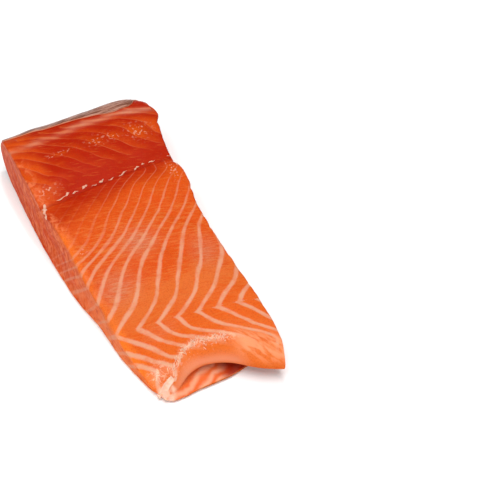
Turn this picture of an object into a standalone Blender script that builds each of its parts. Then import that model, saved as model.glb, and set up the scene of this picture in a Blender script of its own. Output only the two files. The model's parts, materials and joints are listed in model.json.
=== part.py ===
"""Raw salmon fillet: one cut portion that lies skin down on a flat surface.

Metres, +Z up. Y runs across the fish, from the thin belly end at -Y to the thick back at +Y.
X runs along the fish, between the two knife-cut faces. The origin is under the middle of the
portion's box, on the surface that it lies on. There are two pieces: the flesh and its skin.
"""
import math

import bpy
import numpy as np

# Skin: its thickness under the flesh and at its torn upper edge, the share of its wrap where it starts
# to thin, the gap under the flesh, and how far the skin stops short of the toe, over what share of the
# length, and, as a share of the width, of both cut faces
SKIN_THICK = 0.0010
SKIN_EDGE_THICK = 0.0005
SKIN_THINS_FROM = 0.67
SKIN_GAP = 0.0003
SKIN_TUCK = 0.0008
SKIN_TUCK_LENGTH = 0.1
SKIN_TUCK_SHARE = 0.012
FLESH_FOOT = SKIN_THICK + SKIN_GAP

# Where the box's middle lies in the frame of the outlines below
MIDDLE_X = 0.0000
MIDDLE_Y = 0.0039

# Cut faces seen from above: (distance across the fish, place along the fish)
LEFT_FOOT = ((-0.070, -0.0145), (-0.063, -0.0186), (-0.052, -0.0224), (-0.038, -0.0252),
             (-0.021, -0.0273), (-0.010, -0.0301), (0.001, -0.0317), (0.019, -0.0334), (0.038, -0.0342),
             (0.072, -0.0346))
LEFT_TOP = ((-0.067, -0.0172), (-0.058, -0.0200), (-0.044, -0.0230), (-0.027, -0.0250),
            (-0.010, -0.0276), (0.008, -0.0288), (0.028, -0.0316), (0.048, -0.0334), (0.072, -0.0350))
RIGHT_TOP = ((-0.077, 0.0300), (-0.074, 0.0328), (-0.068, 0.0344), (-0.062, 0.0347), (-0.042, 0.0334),
             (-0.015, 0.0308), (0.001, 0.0299), (0.009, 0.0297), (0.022, 0.0315), (0.032, 0.0312),
             (0.039, 0.0300), (0.056, 0.0312), (0.065, 0.0338), (0.076, 0.0334))
RIGHT_UNDERCUT = ((-0.064, 0.0060), (-0.048, 0.0022), (-0.020, 0.0016))

# Small crags in the right-hand cut: (distance across the fish, depth, half width)
RIGHT_CRAGS = ((0.0680, 0.0018, 0.0016), (0.0590, 0.0006, 0.0018), (0.0355, 0.0008, 0.0016),
               (0.0175, 0.0006, 0.0016), (-0.0050, 0.0004, 0.0014))

# Height of the top along both cut faces: (distance across the fish, height)
LEFT_HEIGHT = ((-0.068, 0.0024), (-0.058, 0.0040), (-0.044, 0.0070), (-0.020, 0.0130), (0.000, 0.0175),
               (0.015, 0.0200), (0.037, 0.0228), (0.055, 0.0240), (0.071, 0.0232))
RIGHT_HEIGHT = ((-0.074, 0.0150), (-0.060, 0.0168), (-0.040, 0.0182), (-0.014, 0.0200), (0.010, 0.0215),
                (0.037, 0.0234), (0.055, 0.0240), (0.071, 0.0230))
CROWN = 0.0010
EDGE_ROUND = 0.0010
ROUND_SHARE = 0.98

# Where the portion is thinner than this, its crown and unevenness fade out
FULL_THICK = 0.012

# How fast the top climbs from the thin left corner: 1 is a straight slope
CLIMB = ((-0.062, 2.6), (-0.045, 1.9), (-0.015, 1.15), (0.010, 1.0))

# Valley along the row of pin bones, which leans a little across the portion
PIN_ROW_Y = 0.0362
PIN_ROW_LEAN = 0.10
PIN_VALLEY_DEPTH = 0.0022
PIN_VALLEY_BACK_WIDTH = 0.0055
PIN_VALLEY_BELLY_WIDTH = 0.0100

# Belly end, as curves over the place along the fish: toe on the table, the hollow above it,
# the nose that hangs over it and the rim where the top starts
TOE_Y = ((-0.018, -0.0672), (-0.014, -0.0702), (-0.009, -0.0705), (-0.002, -0.0694), (0.006, -0.0688),
         (0.014, -0.0678), (0.020, -0.0662), (0.034, -0.0628))
HOLLOW_Y = ((-0.015, -0.0696), (-0.009, -0.0674), (-0.002, -0.0610), (0.007, -0.0570), (0.016, -0.0560),
            (0.034, -0.0560))
HOLLOW_Z = ((-0.015, 0.0018), (-0.009, 0.0032), (-0.002, 0.0044), (0.007, 0.0046), (0.034, 0.0040))
NOSE_Y = ((-0.015, -0.0690), (-0.009, -0.0668), (-0.002, -0.0630), (0.007, -0.0632), (0.014, -0.0664),
          (0.021, -0.0712), (0.028, -0.0748), (0.034, -0.0768))
NOSE_Z = ((-0.015, 0.0022), (-0.009, 0.0044), (-0.002, 0.0064), (0.007, 0.0068), (0.034, 0.0060))
RIM_Y = ((-0.017, -0.0655), (-0.009, -0.0634), (-0.005, -0.0584), (-0.001, -0.0566), (0.006, -0.0577),
         (0.014, -0.0596), (0.020, -0.0630), (0.027, -0.0676), (0.034, -0.0718))
FACE_KNOTS = (0.0, 0.32, 0.64, 1.0)

# How the belly end leaves its rim: run across the fish and rise
RIM_RUN = 0.006
RIM_RISE = 0.0008

# Back end: a round nose in profile. Its top line, its reach beyond that and the skin's upper edge
BACK_Y = ((-0.034, 0.0674), (-0.023, 0.0685), (-0.011, 0.0692), (0.008, 0.0704), (0.018, 0.0710),
          (0.025, 0.0711), (0.030, 0.0704), (0.034, 0.0676))
BACK_REACH = ((-0.034, 0.0138), (-0.026, 0.0131), (-0.012, 0.0131), (0.000, 0.0126), (0.012, 0.0128),
              (0.022, 0.0126), (0.034, 0.0104))
SKIN_EDGE_ANGLE = ((-0.034, 52.0), (-0.019, 64.0), (-0.006, 67.0), (0.007, 78.0), (0.018, 85.0),
                   (0.025, 74.0), (0.029, 45.0), (0.036, 14.0))

# Belly's fat lines, numbered along the fish. Each is a chevron: its point lies on the chevron line,
# and on both sides of that, over the distance from it, follow the place of line 0 and the spacing
CHEVRON_Y = -0.0413
CHEVRON_LEAN = -0.20
LINE_ABOVE = ((-0.004, -0.0205), (0.000, -0.0162), (0.004, -0.0119), (0.010, -0.0056), (0.020, 0.0006),
              (0.032, 0.0077), (0.046, 0.0176), (0.060, 0.0270), (0.072, 0.0336), (0.080, 0.0397))
SPACING_ABOVE = ((0.000, 0.0085), (0.020, 0.0076), (0.040, 0.0057), (0.060, 0.0052), (0.080, 0.0046))
LINE_BELOW = ((-0.021, 0.0071), (-0.015, 0.0002), (-0.009, -0.0075), (-0.004, -0.0125), (0.000, -0.0162),
              (0.004, -0.0199))
SPACING_BELOW = ((-0.021, 0.0080), (-0.010, 0.0077), (0.000, 0.0083))

# Natural bends in single fat lines: distance from the chevron line, its half width, and over the
# number of the line how far it shifts along the fish
BENDS = ((0.030, 0.011, ((-6, -0.0008), (-3, -0.0024), (0, -0.0016), (2, 0.0021), (3, 0.0036))),
         (0.005, 0.007, ((-1, -0.0004), (0, 0.0010), (1, 0.0012), (3, -0.0004), (4, -0.0014))),
         (0.044, 0.008, ((-8, 0.0007), (-6, 0.0015), (-4, 0.0001), (-1, -0.0008), (1, -0.0013))),
         (-0.008, 0.006, ((-2, 0.0011), (0, -0.0002), (2, -0.0029), (4, 0.0010), (5, 0.0023))),
         (-0.017, 0.005, ((-3, 0.0027), (-1, -0.0026), (1, -0.0006), (3, 0.0033), (4, 0.0006))))
# Shallow groove along each fat line, the flake width that it is measured by, and the distance from
# the pin bones over which it fades out
LINE_GROOVE = 0.00035
LINE_GROOVE_WIDTH = 0.0016
FLAKE_WIDTH = 0.008
LINE_FADE = 0.012

# Uneven surface: (height, wavelength along the fish, wavelength across it, phase), how quickly the
# waves of a cut face set in from its borders, and how far and over how many wavelengths they wander
TOP_WAVES = ((0.00035, 0.047, 0.031, 0.4), (0.00022, 0.021, 0.026, 1.9), (0.00014, 0.012, 0.015, 4.1))
FACE_WAVES = ((0.00040, 0.033, 0.017, 0.9), (0.00025, 0.014, 0.009, 2.6))
WAVES_SET_IN_LONG = 8.0
WAVES_SET_IN_THICK = 4.0
WANDER = 1.3
WANDER_WAVES = 2.7

# Grid: cells along the length, through the thickness, across the width and round the skin's end,
# and how much closer the cells lie towards the borders
CELLS_LONG = 68
CELLS_THICK = 10
CELLS_WIDE = 30
CELLS_SKIN = 9
CROWDING_LONG = 0.35
CROWDING_WIDE = 0.72

# First guess of the cells' range across the fish, and the rounds that correct it
GUESS_START = -0.065
GUESS_RANGE = 0.137
ROUNDS = 8

# Points closer than one part in this many of a metre are the same
MERGE_KEY = 1e7
SHARP_ANGLE = math.radians(40)

FLESH_COLOUR = (0.78, 0.12, 0.028, 1.0)
FLESH_ROUGHNESS = 0.32
SKIN_COLOUR = (0.24, 0.22, 0.20, 1.0)
SKIN_ROUGHNESS = 0.38


def clear_scene():
    """Start from an empty scene."""
    for obj in list(bpy.data.objects):
        bpy.data.objects.remove(obj, do_unlink=True)


def curve(keys, place):
    """Smooth curve through (place, value) keys, constant beyond both ends."""
    places = np.array([key[0] for key in keys])
    values = np.array([key[1] for key in keys])
    slopes = np.gradient(values, places)
    slopes[0] = 0.5 * slopes[0]
    slopes[-1] = 0.5 * slopes[-1]
    place = np.clip(np.asarray(place, dtype=float), places[0], places[-1])
    first = np.clip(np.searchsorted(places, place) - 1, 0, len(places) - 2)
    step = places[first + 1] - places[first]
    t = (place - places[first]) / step
    value = (2 * t**3 - 3 * t**2 + 1) * values[first]
    value += (3 * t**2 - 2 * t**3) * values[first + 1]
    value += (t**3 - 2 * t**2 + t) * step * slopes[first]
    value += (t**3 - t**2) * step * slopes[first + 1]
    return value


def bell(value, width):
    """Smooth bump, 1 at zero."""
    return np.exp(-((value / width) ** 2))


def waves(table, a, b):
    """Gentle unevenness: a few crossed sine waves."""
    total = np.zeros(np.broadcast(a, b).shape)
    for height, length_a, length_b, phase in table:
        wander = WANDER * np.sin(2 * math.pi * b / (WANDER_WAVES * length_b))
        along = np.sin(2 * math.pi * a / length_a + phase + wander)
        crossing = np.sin(2 * math.pi * b / length_b + 2 * phase)
        total += height * along * crossing
    return total


def left_edge(y, height_share):
    """X of the left cut face at a share of its height."""
    return (1 - height_share) * curve(LEFT_FOOT, y) + height_share * curve(LEFT_TOP, y)


def right_edge(y, height_share):
    """X of the right cut face at a share of its height."""
    x = curve(RIGHT_TOP, y)
    for crag_y, depth, half_width in RIGHT_CRAGS:
        x = x - depth * bell(y - crag_y, half_width)
    return x - curve(RIGHT_UNDERCUT, y) * (1 - height_share)


def across(y, share, height_share):
    """X at a share of the way from the left cut face to the right one."""
    return (1 - share) * left_edge(y, height_share) + share * right_edge(y, height_share)


def flake_number(x, y):
    """Which flake of the belly a point lies in; whole numbers are the fat lines."""
    beyond = y - (CHEVRON_Y + CHEVRON_LEAN * x)
    place = np.where(beyond > 0, curve(LINE_ABOVE, beyond), curve(LINE_BELOW, beyond))
    spacing = np.where(beyond > 0, curve(SPACING_ABOVE, beyond), curve(SPACING_BELOW, beyond))
    straight = (x - place) / spacing
    number = straight
    for _ in range(2):
        shift = 0
        for distance, width, shifts in BENDS:
            shift = shift + bell(beyond - distance, width) * curve(shifts, number)
        number = straight - shift / spacing
    return number


def top_height(x, y):
    """Height of the top surface."""
    left = left_edge(y, 1.0)
    right = right_edge(y, 1.0)
    share = np.clip((x - left) / (right - left), 0, 1)
    climb = 1 - (1 - share) ** curve(CLIMB, y)
    height = curve(LEFT_HEIGHT, y) * (1 - climb) + curve(RIGHT_HEIGHT, y) * climb
    thick = np.clip(height / FULL_THICK, 0, 1)
    height = height + CROWN * thick * (1 - (2 * share - 1) ** 2)

    from_row = y - (PIN_ROW_Y + PIN_ROW_LEAN * x)
    width = np.where(from_row > 0, PIN_VALLEY_BACK_WIDTH, PIN_VALLEY_BELLY_WIDTH)
    height = height - PIN_VALLEY_DEPTH * bell(from_row, width)

    flake = flake_number(x, y)
    from_line = np.abs(flake - np.round(flake)) * FLAKE_WIDTH
    in_belly = np.clip(-from_row / LINE_FADE, 0, 1)
    height = height - LINE_GROOVE * thick * in_belly * bell(from_line, LINE_GROOVE_WIDTH)
    height = height + thick * waves(TOP_WAVES, x, y)

    from_edge = np.minimum(x - left, right - x)
    bend = np.clip(1 - from_edge / EDGE_ROUND, 0, 1)
    return height - EDGE_ROUND * thick * (1 - np.sqrt(1 - ROUND_SHARE * bend**2))


def eased(count, crowding):
    """Shares from 0 to 1, closer together towards both ends."""
    even = np.linspace(0, 1, count + 1)
    return even - crowding * np.sin(2 * math.pi * even) / (2 * math.pi)


def sheet_places(front, shares_long, shares_wide, height_share):
    """Plan positions of a sheet of cells between a front line and the back end's top line."""
    y = np.repeat((GUESS_START + GUESS_RANGE * shares_long)[:, None], len(shares_wide), axis=1)
    share = np.repeat(shares_wide[None, :], len(shares_long), axis=0)
    for _ in range(ROUNDS):
        x = across(y, share, height_share)
        start = curve(front, x)
        y = start + (curve(BACK_Y, x) - start) * shares_long[:, None]
    return x, y


def knots_curve(values, beyond, share):
    """Smooth curve over FACE_KNOTS through arrays of values; beyond sets the slope at the rim."""
    knots = np.array(FACE_KNOTS)
    slopes = [(values[1] - values[0]) / (knots[1] - knots[0])]
    for i in (1, 2):
        slopes.append((values[i + 1] - values[i - 1]) / (knots[i + 1] - knots[i - 1]))
    slopes.append((beyond - values[2]) / (2 * (knots[3] - knots[2])))
    result = np.zeros(np.shape(share))
    for i in range(3):
        step = knots[i + 1] - knots[i]
        t = np.clip((share - knots[i]) / step, 0, 1)
        value = (2 * t**3 - 3 * t**2 + 1) * values[i] + (3 * t**2 - 2 * t**3) * values[i + 1]
        value = value + (t**3 - 2 * t**2 + t) * step * slopes[i] + (t**3 - t**2) * step * slopes[i + 1]
        inside = (share >= knots[i]) & (share <= knots[i + 1])
        result = np.where(inside, value, result)
    return result


def belly_face(x, share):
    """Y and Z of the belly end at a share of the way from its toe to its rim."""
    rim_y = curve(RIM_Y, x)
    rim_z = top_height(x, rim_y)
    knot_y = (curve(TOE_Y, x), curve(HOLLOW_Y, x), curve(NOSE_Y, x), rim_y)
    knot_z = (FLESH_FOOT + 0 * x, curve(HOLLOW_Z, x), curve(NOSE_Z, x), rim_z)
    y = knots_curve(knot_y, rim_y + RIM_RUN, share)
    z = knots_curve(knot_z, rim_z + RIM_RISE, share)
    uneven = np.sin(math.pi * share) * waves(FACE_WAVES, x, z)
    return y + uneven * np.clip(rim_z / FULL_THICK, 0, 1), z


def back_face(x, angle, outset):
    """Y and Z of the round back end at an angle from -90 at the foot to +90 degrees at the top."""
    line_y = curve(BACK_Y, x)
    top = top_height(x, line_y)
    half = 0.5 * (top - FLESH_FOOT)
    y = line_y + (curve(BACK_REACH, x) + outset) * np.cos(angle)
    z = FLESH_FOOT + half + (half + outset) * np.sin(angle)
    return y, z


def stack(x, y, z):
    """Points in the part's frame from arrays in the outlines' frame."""
    return np.stack([x - MIDDLE_X, y - MIDDLE_Y, z + 0 * x], axis=-1)


def flesh_sheets():
    """The flesh's surface as six sheets of points that share their borders."""
    shares_long = eased(CELLS_LONG, CROWDING_LONG)
    shares_wide = eased(CELLS_WIDE, CROWDING_WIDE)
    shares_thick = np.linspace(0, 1, CELLS_THICK + 1)

    top_x, top_y = sheet_places(RIM_Y, shares_long, shares_wide, 1.0)
    top = stack(top_x, top_y, top_height(top_x, top_y))
    foot_x, foot_y = sheet_places(TOE_Y, shares_long, shares_wide, 0.0)
    foot = stack(foot_x, foot_y, FLESH_FOOT)

    thick = shares_thick[:, None]
    belly_x = foot_x[0] * (1 - thick) + top_x[0] * thick
    belly_y, belly_z = belly_face(belly_x, thick + 0 * belly_x)
    belly = stack(belly_x, belly_y, belly_z)
    back_x = foot_x[-1] * (1 - thick) + top_x[-1] * thick
    back_y, back_z = back_face(back_x, math.pi * (thick - 0.5), 0.0)
    back = stack(back_x, back_y, back_z)

    left = cut_face(foot[:, 0], top[:, 0], belly[:, 0], back[:, 0], shares_long, shares_thick)
    right = cut_face(foot[:, -1], top[:, -1], belly[:, -1], back[:, -1], shares_long, shares_thick)
    return top, foot, left, right, belly, back


def cut_face(foot, top, belly, back, shares_long, shares_thick):
    """Knife-cut side: a sheet between its four borders, with slight waves inside them."""
    s = shares_long[:, None, None]
    t = shares_thick[None, :, None]
    sheet = (1 - t) * foot[:, None] + t * top[:, None] + (1 - s) * belly[None] + s * back[None]
    sheet -= (1 - s) * (1 - t) * foot[0] + s * (1 - t) * foot[-1] + (1 - s) * t * top[0] + s * t * top[-1]
    inside_long = np.clip(WAVES_SET_IN_LONG * s * (1 - s), 0, 1)[..., 0]
    inside = inside_long * np.clip(WAVES_SET_IN_THICK * t * (1 - t), 0, 1)[..., 0]
    sheet[..., 0] += inside * waves(FACE_WAVES, sheet[..., 1], sheet[..., 2])
    return sheet


class Shell:
    """Collects points and faces; points at the same place are one."""

    def __init__(self):
        self.points = []
        self.faces = []
        self.index = {}

    def point(self, place):
        """Number of the point at a place."""
        key = tuple(int(round(value * MERGE_KEY)) for value in place)
        if key not in self.index:
            self.index[key] = len(self.points)
            self.points.append(tuple(float(value) for value in place))
        return self.index[key]

    def face(self, places):
        """One face; corners that fall together are dropped."""
        corners = []
        for place in places:
            number = self.point(place)
            if number not in corners:
                corners.append(number)
        if len(corners) > 2:
            self.faces.append(corners)

    def sheet(self, grid, flip):
        """A grid of points as quads."""
        for i in range(grid.shape[0] - 1):
            for j in range(grid.shape[1] - 1):
                corners = [grid[i, j], grid[i + 1, j], grid[i + 1, j + 1], grid[i, j + 1]]
                self.face(corners[::-1] if flip else corners)

    def flat(self, grid, flip):
        """The outline of a flat grid of points as one face."""
        outline = list(grid[:, 0]) + list(grid[-1, 1:]) + list(grid[-2::-1, -1]) + list(grid[0, -2:0:-1])
        self.face(outline[::-1] if flip else outline)

    def build(self, name, material):
        """The closed mesh as an object."""
        mesh = bpy.data.meshes.new(name)
        mesh.from_pydata(self.points, [], self.faces)
        mesh.update()
        mesh.shade_smooth()
        mesh.set_sharp_from_angle(angle=SHARP_ANGLE)
        obj = bpy.data.objects.new(name, mesh)
        obj.data.materials.append(material)
        bpy.context.scene.collection.objects.link(obj)
        return obj


def make_material(name, colour, roughness):
    """Plain finish in the food's colour."""
    material = bpy.data.materials.new(name)
    material.use_nodes = True
    shader = material.node_tree.nodes["Principled BSDF"]
    shader.inputs["Base Color"].default_value = colour
    shader.inputs["Roughness"].default_value = roughness
    shader.inputs["Metallic"].default_value = 0.0
    return material


def make_flesh():
    """The boneless flesh: flat underneath, cut on both sides, with the overhanging belly end."""
    top, foot, left, right, belly, back = flesh_sheets()
    shell = Shell()
    shell.sheet(top, flip=True)
    shell.flat(foot, flip=False)
    shell.sheet(left, flip=True)
    shell.sheet(right, flip=False)
    shell.sheet(belly, flip=True)
    shell.sheet(back, flip=False)
    return shell.build("flesh", make_material("raw_flesh", FLESH_COLOUR, FLESH_ROUGHNESS))


def skin_sheet(depth_share):
    """One side of the skin as a flat part and a part that wraps the back; 0 is outside."""
    shares_long = eased(CELLS_LONG, CROWDING_LONG)
    shares_wide = SKIN_TUCK_SHARE + (1 - 2 * SKIN_TUCK_SHARE) * eased(CELLS_WIDE, CROWDING_WIDE)
    x, y = sheet_places(TOE_Y, shares_long, shares_wide, 0.0)
    tuck = SKIN_TUCK * np.clip(1 - shares_long / SKIN_TUCK_LENGTH, 0, 1)[:, None]
    flat = stack(x, y + tuck, SKIN_THICK * depth_share)

    turn = np.linspace(0, 1, CELLS_SKIN + 1)[:, None]
    top_x = sheet_places(RIM_Y, shares_long, shares_wide, 1.0)[0][-1]
    edge = np.radians(curve(SKIN_EDGE_ANGLE, top_x))
    angle = -0.5 * math.pi + (edge + 0.5 * math.pi) * turn
    thin = np.clip((turn - SKIN_THINS_FROM) / (1 - SKIN_THINS_FROM), 0, 1)
    thick = SKIN_THICK + (SKIN_EDGE_THICK - SKIN_THICK) * thin
    rise = (angle + 0.5 * math.pi) / math.pi
    wrap_x = x[-1] * (1 - rise) + top_x * rise
    wrap_y, wrap_z = back_face(wrap_x, angle, SKIN_GAP + thick * (1 - depth_share))
    return flat, stack(wrap_x, wrap_y, wrap_z)


def make_skin():
    """The skin: a thin flat sheet under the flesh that wraps round the back end."""
    flat_out, wrap_out = skin_sheet(0.0)
    flat_in, wrap_in = skin_sheet(1.0)
    shell = Shell()
    shell.flat(flat_out, flip=False)
    shell.flat(flat_in, flip=True)
    shell.sheet(wrap_out, flip=False)
    shell.sheet(wrap_in, flip=True)
    for out, inner in ((flat_out, flat_in), (wrap_out, wrap_in)):
        shell.sheet(np.stack([out[:, 0], inner[:, 0]], axis=1), flip=True)
        shell.sheet(np.stack([out[:, -1], inner[:, -1]], axis=1), flip=False)
    shell.sheet(np.stack([flat_out[0], flat_in[0]], axis=1), flip=False)
    shell.sheet(np.stack([wrap_out[-1], wrap_in[-1]], axis=1), flip=True)
    return shell.build("skin", make_material("silver_skin", SKIN_COLOUR, SKIN_ROUGHNESS))


def main():
    """Build both pieces."""
    clear_scene()
    make_flesh()
    make_skin()


main()
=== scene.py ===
"""Looks of the raw salmon fillet: wet orange flesh with pale fat lines, and silver skin.

Metres, +Z up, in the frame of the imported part: Y runs across the fish from the thin belly end
(-Y) to the thick back (+Y), X along the fish between the two knife cuts.
"""
import json
import math
import random
from functools import partial

import bpy
import numpy as np
from mathutils import Matrix, Vector

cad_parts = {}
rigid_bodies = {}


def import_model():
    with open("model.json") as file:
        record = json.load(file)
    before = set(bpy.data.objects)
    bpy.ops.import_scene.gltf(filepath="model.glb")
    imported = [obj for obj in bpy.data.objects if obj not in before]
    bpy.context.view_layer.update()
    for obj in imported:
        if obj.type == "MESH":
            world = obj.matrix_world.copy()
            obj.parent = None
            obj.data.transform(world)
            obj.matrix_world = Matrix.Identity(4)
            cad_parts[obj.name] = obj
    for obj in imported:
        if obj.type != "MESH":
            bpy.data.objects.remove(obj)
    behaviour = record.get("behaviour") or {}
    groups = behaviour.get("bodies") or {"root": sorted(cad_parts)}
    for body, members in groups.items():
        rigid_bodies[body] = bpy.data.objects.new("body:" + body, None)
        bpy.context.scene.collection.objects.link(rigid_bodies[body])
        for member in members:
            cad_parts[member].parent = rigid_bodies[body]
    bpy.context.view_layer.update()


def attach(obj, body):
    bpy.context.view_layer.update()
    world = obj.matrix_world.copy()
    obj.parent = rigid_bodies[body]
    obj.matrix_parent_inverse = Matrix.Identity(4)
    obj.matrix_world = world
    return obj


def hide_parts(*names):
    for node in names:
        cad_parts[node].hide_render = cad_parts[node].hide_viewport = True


# View of the photograph: turn, height and distance of the camera, the pixel size at that distance and
# the pixel that shows the aim point
VIEW_TURN = math.radians(-23.3)
VIEW_HEIGHT = math.radians(48.0)
VIEW_DISTANCE = 0.75
PIXEL_AT_AIM = 0.00042
IMAGE_PIXELS = 500
AIM_PIXEL = (140, 255)
AIM_HEIGHT = 0.010
SENSOR = 36.0
NEAREST_SEEN = 0.01

# Skin: its thickness under the flesh and at its torn edge, the share of its wrap where it starts to
# thin, the almost closed gap under the flesh and where in the wrap it ends, the torn edge's wander in
# degrees, and how far the skin stops short of the toe and, as a share of the width, of the cut faces
SKIN_THICK = 0.0010
SKIN_EDGE_THICK = 0.0005
SKIN_THINS_FROM = 0.67
SKIN_GAP = 0.00005
SKIN_CLOSES = (0.80, 0.95)
SKIN_EDGE_WANDER = (2.5, 0.006, 61)
SKIN_TUCK = 0.0008
SKIN_TUCK_LENGTH = 0.1
SKIN_TUCK_SHARE = 0.012
FLESH_FOOT = SKIN_THICK + SKIN_GAP

# Where the box's middle lies across the fish in the frame of the outlines below
MIDDLE_Y = 0.0039

# Cut faces seen from above: (distance across the fish, place along the fish). Each WANDER here gives
# the size, cell and seed of a line's noise
LEFT_FOOT = ((-0.070, -0.0145), (-0.063, -0.0186), (-0.052, -0.0224), (-0.038, -0.0252),
             (-0.021, -0.0273), (-0.010, -0.0301), (0.001, -0.0317), (0.019, -0.0334), (0.038, -0.0342),
             (0.072, -0.0346))
LEFT_TOP = ((-0.067, -0.0172), (-0.058, -0.0200), (-0.044, -0.0230), (-0.027, -0.0250),
            (-0.010, -0.0276), (0.008, -0.0288), (0.028, -0.0316), (0.048, -0.0334), (0.072, -0.0350))
RIGHT_TOP = ((-0.077, 0.0300), (-0.074, 0.0328), (-0.068, 0.0344), (-0.062, 0.0347), (-0.042, 0.0334),
             (-0.015, 0.0308), (0.001, 0.0299), (0.009, 0.0297), (0.022, 0.0315), (0.032, 0.0312),
             (0.039, 0.0300), (0.056, 0.0312), (0.065, 0.0338), (0.076, 0.0334))
RIGHT_UNDERCUT = ((-0.064, 0.0060), (-0.048, 0.0022), (-0.020, 0.0016))
LEFT_WANDER = (0.00022, 0.0060, 3)
RIGHT_WANDER = (0.00028, 0.0045, 5)

# Small crags in the right-hand cut: (distance across the fish, depth, half width)
RIGHT_CRAGS = ((0.0680, 0.0018, 0.0016), (0.0590, 0.0006, 0.0018), (0.0355, 0.0008, 0.0016),
               (0.0175, 0.0006, 0.0016), (-0.0050, 0.0004, 0.0014))

# Height of the top along both cut faces: (distance across the fish, height). From FULL_THICK up, crown,
# grooves and waves have their full size
LEFT_HEIGHT = ((-0.068, 0.0024), (-0.058, 0.0040), (-0.044, 0.0070), (-0.020, 0.0130), (0.000, 0.0175),
               (0.015, 0.0200), (0.037, 0.0228), (0.055, 0.0240), (0.071, 0.0232))
RIGHT_HEIGHT = ((-0.074, 0.0150), (-0.060, 0.0168), (-0.040, 0.0182), (-0.014, 0.0200), (0.010, 0.0215),
                (0.037, 0.0234), (0.055, 0.0240), (0.071, 0.0230))
CROWN = 0.0010
EDGE_ROUND = 0.0010
ROUND_SHARE = 0.98
FULL_THICK = 0.012

# How fast the top climbs from the thin left corner: 1 is a straight slope
CLIMB = ((-0.062, 2.6), (-0.045, 1.9), (-0.015, 1.15), (0.010, 1.0))

# Valley along the row of pin bones, which leans a little across the portion
PIN_ROW_Y = 0.0362
PIN_ROW_LEAN = 0.10
PIN_VALLEY_DEPTH = 0.0022
PIN_VALLEY_BACK_WIDTH = 0.0055
PIN_VALLEY_BELLY_WIDTH = 0.0100

# Narrow crease just below the row
CREASE_BELOW_ROW = 0.0008
CREASE_WANDER = (0.0004, 0.011, 71)
CREASE_DEPTH = 0.0006
CREASE_WIDTH = 0.0006

# Belly end, as curves over the place along the fish: toe on the table, the hollow above it,
# the nose that hangs over it and the rim where the top starts, with the run and rise of its slope there
TOE_Y = ((-0.018, -0.0672), (-0.014, -0.0702), (-0.009, -0.0705), (-0.002, -0.0694), (0.006, -0.0688),
         (0.014, -0.0678), (0.020, -0.0662), (0.034, -0.0628))
HOLLOW_Y = ((-0.015, -0.0696), (-0.009, -0.0674), (-0.002, -0.0610), (0.007, -0.0570), (0.016, -0.0560),
            (0.034, -0.0560))
HOLLOW_Z = ((-0.015, 0.0018), (-0.009, 0.0032), (-0.002, 0.0044), (0.007, 0.0046), (0.034, 0.0040))
NOSE_Y = ((-0.015, -0.0690), (-0.009, -0.0668), (-0.002, -0.0630), (0.007, -0.0632), (0.014, -0.0664),
          (0.021, -0.0712), (0.028, -0.0748), (0.034, -0.0768))
NOSE_Z = ((-0.015, 0.0022), (-0.009, 0.0044), (-0.002, 0.0064), (0.007, 0.0068), (0.034, 0.0060))
RIM_Y = ((-0.017, -0.0655), (-0.009, -0.0634), (-0.005, -0.0584), (-0.001, -0.0566), (0.006, -0.0577),
         (0.014, -0.0596), (0.020, -0.0630), (0.027, -0.0676), (0.034, -0.0718))
RIM_RUN = 0.006
RIM_RISE = 0.0008
FACE_KNOTS = (0.0, 0.32, 0.64, 1.0)

# Back end: a round nose in profile. Its top line, its reach beyond that and the skin's upper edge
BACK_Y = ((-0.034, 0.0674), (-0.023, 0.0685), (-0.011, 0.0692), (0.008, 0.0704), (0.018, 0.0710),
          (0.025, 0.0711), (0.030, 0.0704), (0.034, 0.0676))
BACK_REACH = ((-0.034, 0.0138), (-0.026, 0.0131), (-0.012, 0.0131), (0.000, 0.0126), (0.012, 0.0128),
              (0.022, 0.0126), (0.034, 0.0104))
SKIN_EDGE_ANGLE = ((-0.034, 52.0), (-0.019, 64.0), (-0.006, 67.0), (0.007, 78.0), (0.018, 85.0),
                   (0.025, 74.0), (0.029, 45.0), (0.036, 14.0))

# Belly's fat lines, numbered along the fish. Each is a chevron with its point on the chevron line. On
# both sides, over the distance from that: place of line 0 and spacing
CHEVRON_Y = -0.0413
CHEVRON_LEAN = -0.20
LINE_ABOVE = ((-0.004, -0.0205), (0.000, -0.0162), (0.004, -0.0119), (0.010, -0.0056), (0.020, 0.0006),
              (0.032, 0.0077), (0.046, 0.0176), (0.060, 0.0270), (0.072, 0.0336), (0.080, 0.0397))
SPACING_ABOVE = ((0.000, 0.0085), (0.020, 0.0076), (0.040, 0.0057), (0.060, 0.0052), (0.080, 0.0046))
LINE_BELOW = ((-0.021, 0.0071), (-0.015, 0.0002), (-0.009, -0.0075), (-0.004, -0.0125), (0.000, -0.0162),
              (0.004, -0.0199))
SPACING_BELOW = ((-0.021, 0.0080), (-0.010, 0.0077), (0.000, 0.0083))

# Bends in single fat lines: distance from the chevron line, half width, and shift over the line's number
BENDS = ((0.030, 0.011, ((-6, -0.0008), (-3, -0.0024), (0, -0.0016), (2, 0.0021), (3, 0.0036))),
         (0.005, 0.007, ((-1, -0.0004), (0, 0.0010), (1, 0.0012), (3, -0.0004), (4, -0.0014))),
         (0.044, 0.008, ((-8, 0.0007), (-6, 0.0015), (-4, 0.0001), (-1, -0.0008), (1, -0.0013))),
         (-0.008, 0.006, ((-2, 0.0011), (0, -0.0002), (2, -0.0029), (4, 0.0010), (5, 0.0023))),
         (-0.017, 0.005, ((-3, 0.0027), (-1, -0.0026), (1, -0.0006), (3, 0.0033), (4, 0.0006))))
LINE_GROOVE = 0.00012
LINE_GROOVE_WIDTH = 0.0009
FLAKE_WIDTH = 0.008
LINE_FADE = 0.012

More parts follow.
